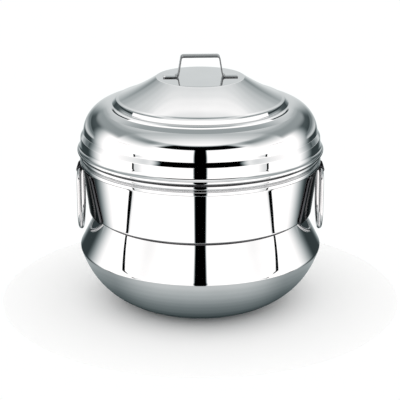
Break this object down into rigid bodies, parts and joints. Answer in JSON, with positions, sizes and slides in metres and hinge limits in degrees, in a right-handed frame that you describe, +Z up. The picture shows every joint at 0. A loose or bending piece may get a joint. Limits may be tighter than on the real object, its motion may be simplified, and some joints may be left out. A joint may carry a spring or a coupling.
{
  "type": "steaming pot",
  "caption": "Waisted stainless steel pot with a tall domed lid, a bent strap lid handle, hanging ring handles in curled sheet ears, and a perforated steamer plate inside.",
  "frame": {"origin": "centre of the pot's flat base, on the table", "axes": "+Z up along the pot's axis of revolution, the ring handles on +X and -X, -Y towards the viewer of the picture"},
  "size_m": [0.2444, 0.242, 0.247],
  "materials": {
    "pot_steel": "mirror polished",
    "lid_steel": "mirror polished",
    "strap_steel": "polished",
    "ear_steel": "polished",
    "wire_steel": "polished",
    "plate_steel": "satin",
    "rivet_steel": "satin"
  },
  "bodies": {
    "pot": {"pot_body": "pot_steel", "left_ear": "ear_steel", "right_ear": "ear_steel"},
    "lid": {"lid_shell": "lid_steel", "lid_handle": "strap_steel"},
    "left_loop": {"left_ring": "wire_steel"},
    "right_loop": {"right_ring": "wire_steel"},
    "plate": {"steamer_plate": "plate_steel", "plate_handle": "strap_steel", "plate_rivets": "rivet_steel"}
  },
  "joints": [
    {"name": "lid_lift", "type": "slide", "parent": "pot", "child": "lid", "axis": [0, 0, 1], "range_m": [0, 0.2]},
    {"name": "plate_lift", "type": "slide", "parent": "pot", "child": "plate", "axis": [0, 0, 1], "range_m": [0, 0.085]},
    {"name": "right_ring_swing", "type": "hinge", "parent": "pot", "child": "right_loop", "pos_m": [0.1186, 0, 0.1347], "axis": [0, -1, 0], "range_deg": [0, 160]},
    {"name": "left_ring_swing", "type": "hinge", "parent": "pot", "child": "left_loop", "pos_m": [-0.1186, 0, 0.1347], "axis": [0, 1, 0], "range_deg": [0, 160]}
  ]
}
